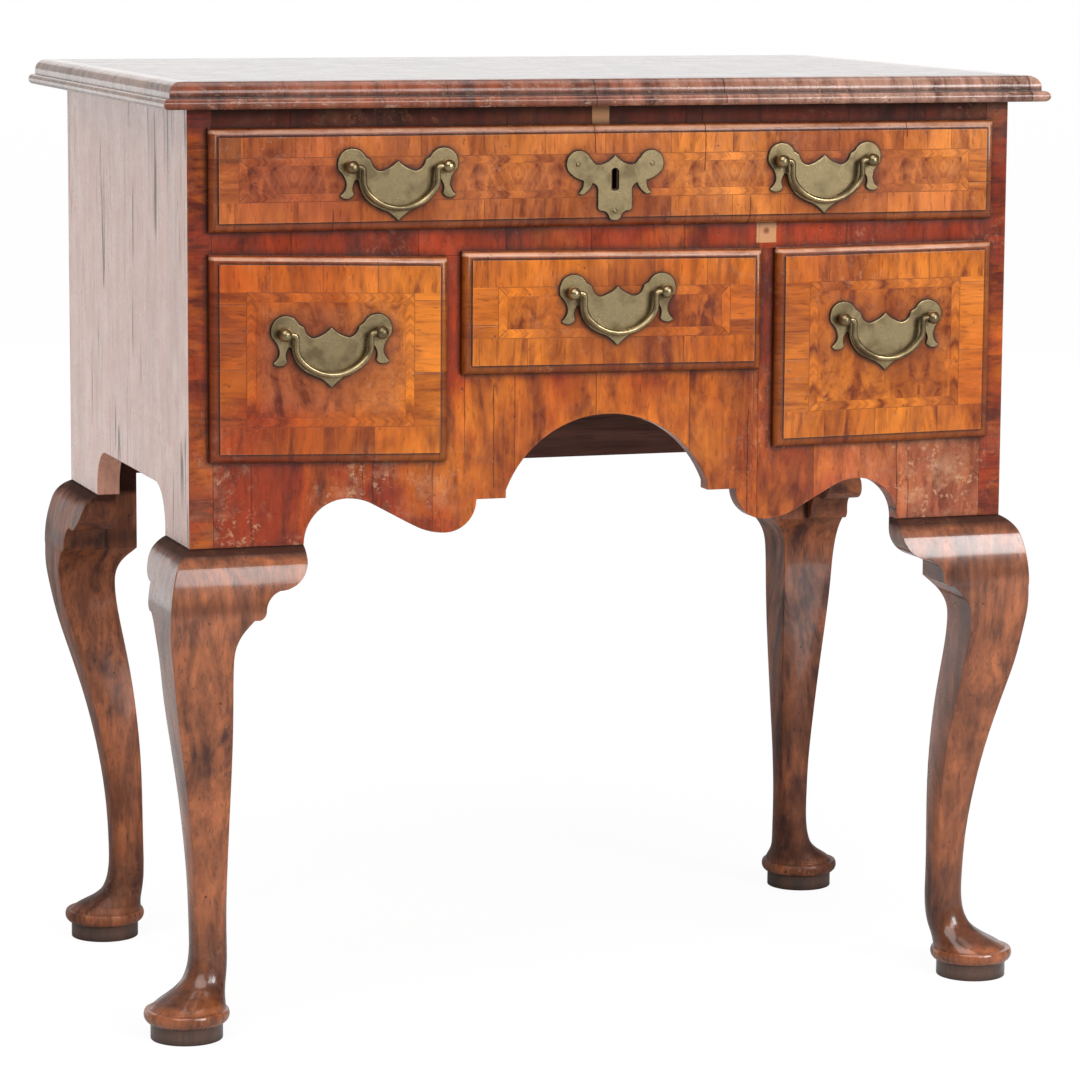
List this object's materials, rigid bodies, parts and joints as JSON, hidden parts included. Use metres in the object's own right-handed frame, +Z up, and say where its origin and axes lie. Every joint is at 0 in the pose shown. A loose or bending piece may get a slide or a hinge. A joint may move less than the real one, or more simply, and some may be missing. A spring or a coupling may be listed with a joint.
{
  "type": "lowboy",
  "caption": "Walnut lowboy with a full-width drawer above a shallow centre drawer between deeper ones, shaped apron and cabriole legs with pad feet.",
  "frame": {"origin": "on the floor, under the middle of the top", "axes": "+Z up; the drawers' fronts face -Y and the length of the case runs along X"},
  "size_m": [0.7024, 0.4614, 0.71],
  "materials": {
    "top_veneer": "polished figured walnut veneer, faded",
    "moulding_walnut": "cross-grained walnut moulding, old polish",
    "side_veneer": "walnut veneer, faded, with shrinkage cracks",
    "front_veneer": "walnut veneer, old polish",
    "drawer_veneer": "figured walnut veneer with cross and feather banding",
    "leg_walnut": "solid walnut, polished",
    "drawer_oak": "plain oak drawer linings, unpolished",
    "case_pine": "pine, unpolished and darkened",
    "brass": "old lacquered brass, worn",
    "lock_metal": "iron, darkened"
  },
  "bodies": {
    "case": {"back_board": "case_pine", "back_leg_ear_left": "leg_walnut", "back_leg_ear_right": "leg_walnut", "centre_drawer_runners": "case_pine", "frieze_rail": "front_veneer", "front_apron": "front_veneer", "front_leg_ears_left": "leg_walnut", "front_leg_ears_right": "leg_walnut", "leg_back_left": "leg_walnut", "leg_back_right": "leg_walnut", "leg_front_left": "leg_walnut", "leg_front_right": "leg_walnut", "long_drawer_runners": "case_pine", "middle_rail": "front_veneer", "moulding_front": "moulding_walnut", "moulding_left": "moulding_walnut", "moulding_right": "moulding_walnut", "partition_left": "front_veneer", "partition_right": "front_veneer", "side_drawer_runners": "case_pine", "side_left": "side_veneer", "side_right": "side_veneer", "top_board": "top_veneer"},
    "centre_drawer": {"centre_drawer_back": "drawer_oak", "centre_drawer_backplate": "brass", "centre_drawer_bottom": "drawer_oak", "centre_drawer_front": "drawer_veneer", "centre_drawer_handle_posts": "brass", "centre_drawer_side_left": "drawer_oak", "centre_drawer_side_right": "drawer_oak"},
    "centre_drawer_bail": {"centre_drawer_bail": "brass"},
    "long_drawer": {"escutcheon": "brass", "lock_case": "lock_metal", "long_drawer_back": "drawer_oak", "long_drawer_backplate_left": "brass", "long_drawer_backplate_right": "brass", "long_drawer_bottom": "drawer_oak", "long_drawer_front": "drawer_veneer", "long_drawer_handle_posts": "brass", "long_drawer_side_left": "drawer_oak", "long_drawer_side_right": "drawer_oak"},
    "left_drawer": {"left_drawer_back": "drawer_oak", "left_drawer_backplate": "brass", "left_drawer_bottom": "drawer_oak", "left_drawer_front": "drawer_veneer", "left_drawer_handle_posts": "brass", "left_drawer_side_left": "drawer_oak", "left_drawer_side_right": "drawer_oak"},
    "left_drawer_bail": {"left_drawer_bail": "brass"},
    "lock_bolt": {"lock_bolt": "lock_metal"},
    "long_drawer_bail_left": {"long_drawer_bail_left": "brass"},
    "long_drawer_bail_right": {"long_drawer_bail_right": "brass"},
    "right_drawer": {"right_drawer_back": "drawer_oak", "right_drawer_backplate": "brass", "right_drawer_bottom": "drawer_oak", "right_drawer_front": "drawer_veneer", "right_drawer_handle_posts": "brass", "right_drawer_side_left": "drawer_oak", "right_drawer_side_right": "drawer_oak"},
    "right_drawer_bail": {"right_drawer_bail": "brass"}
  },
  "joints": [
    {"name": "long_drawer_slide", "type": "slide", "parent": "case", "child": "long_drawer", "axis": [0, -1, 0], "range_m": [0, 0.26]},
    {"name": "left_drawer_slide", "type": "slide", "parent": "case", "child": "left_drawer", "axis": [0, -1, 0], "range_m": [0, 0.26]},
    {"name": "centre_drawer_slide", "type": "slide", "parent": "case", "child": "centre_drawer", "axis": [0, -1, 0], "range_m": [0, 0.26]},
    {"name": "right_drawer_slide", "type": "slide", "parent": "case", "child": "right_drawer", "axis": [0, -1, 0], "range_m": [0, 0.26]},
    {"name": "long_drawer_bail_left_hinge", "type": "hinge", "parent": "long_drawer", "child": "long_drawer_bail_left", "pos_m": [-0.167, -0.22085, 0.648], "axis": [-1, 0, 0], "range_deg": [-7, 190]},
    {"name": "long_drawer_bail_right_hinge", "type": "hinge", "parent": "long_drawer", "child": "long_drawer_bail_right", "pos_m": [0.167, -0.22085, 0.648], "axis": [-1, 0, 0], "range_deg": [-7, 190]},
    {"name": "left_drawer_bail_hinge", "type": "hinge", "parent": "left_drawer", "child": "left_drawer_bail", "pos_m": [-0.2174, -0.22085, 0.5278], "axis": [-1, 0, 0], "range_deg": [-7, 190]},
    {"name": "centre_drawer_bail_hinge", "type": "hinge", "parent": "centre_drawer", "child": "centre_drawer_bail", "pos_m": [0.003, -0.22085, 0.5528], "axis": [-1, 0, 0], "range_deg": [-7, 190]},
    {"name": "right_drawer_bail_hinge", "type": "hinge", "parent": "right_drawer", "child": "right_drawer_bail", "pos_m": [0.2191, -0.22085, 0.5278], "axis": [-1, 0, 0], "range_deg": [-7, 190]},
    {"name": "lock_bolt_slide", "type": "slide", "parent": "long_drawer", "child": "lock_bolt", "axis": [0, 0, 1], "range_m": [0, 0.0065]}
  ]
}
